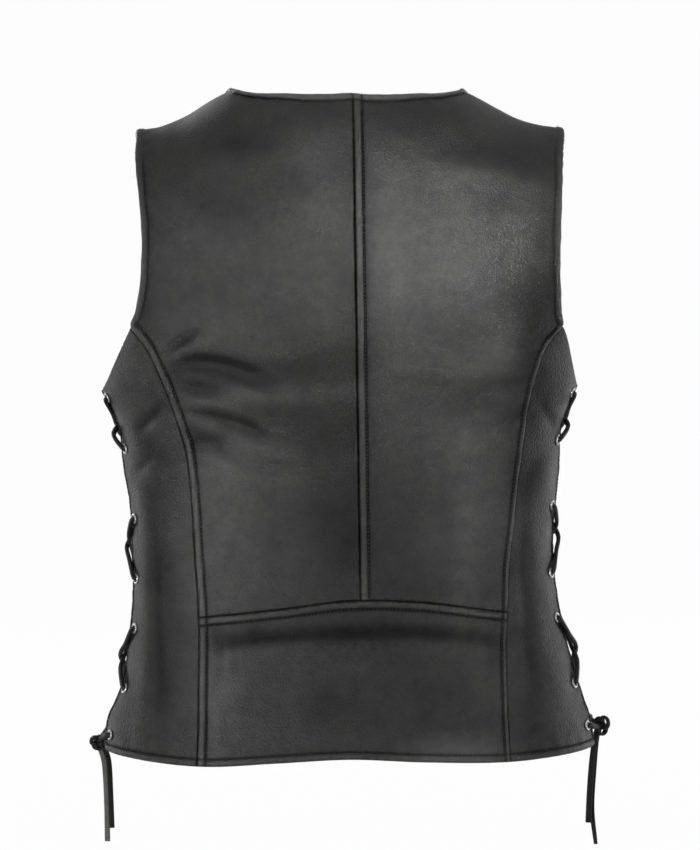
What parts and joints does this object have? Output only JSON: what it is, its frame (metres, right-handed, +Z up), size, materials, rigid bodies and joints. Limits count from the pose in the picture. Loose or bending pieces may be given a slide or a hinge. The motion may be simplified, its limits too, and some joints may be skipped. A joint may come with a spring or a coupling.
{
  "type": "vest",
  "caption": "Hip-length black leather vest with laced sides, low front neck, snaps and hanging lace ends.",
  "frame": {"origin": "midway between the shoulders, at the height of the middle of the shoulder slope", "axes": "+Z up towards the neck, +X towards the wearer's left, -Y out of the front"},
  "size_m": [0.4367, 0.2376, 0.632],
  "materials": {
    "leather": "satin",
    "lace": "satin",
    "steel": "satin"
  },
  "bodies": {
    "root": {"waist_band": "leather", "back_left": "leather", "back_right": "leather", "side_left": "leather", "side_right": "leather", "front_left": "leather", "front_right": "leather", "lace_left": "lace", "lace_right": "lace", "knot_left": "lace", "knot_right": "lace", "lace_end_left_long": "lace", "lace_end_left_short": "lace", "lace_end_right_long": "lace", "lace_end_right_short": "lace", "eyelet_left_back_1": "steel", "eyelet_left_back_2": "steel", "eyelet_left_back_3": "steel", "eyelet_left_back_4": "steel", "eyelet_left_back_5": "steel", "eyelet_left_back_6": "steel", "eyelet_left_back_7": "steel", "eyelet_left_front_1": "steel", "eyelet_left_front_2": "steel", "eyelet_left_front_3": "steel", "eyelet_left_front_4": "steel", "eyelet_left_front_5": "steel", "eyelet_left_front_6": "steel", "eyelet_left_front_7": "steel", "eyelet_right_back_1": "steel", "eyelet_right_back_2": "steel", "eyelet_right_back_3": "steel", "eyelet_right_back_4": "steel", "eyelet_right_back_5": "steel", "eyelet_right_back_6": "steel", "eyelet_right_back_7": "steel", "eyelet_right_front_1": "steel", "eyelet_right_front_2": "steel", "eyelet_right_front_3": "steel", "eyelet_right_front_4": "steel", "eyelet_right_front_5": "steel", "eyelet_right_front_6": "steel", "eyelet_right_front_7": "steel", "snap_1": "steel", "snap_2": "steel", "snap_3": "steel", "snap_4": "steel"}
  },
  "joints": []
}
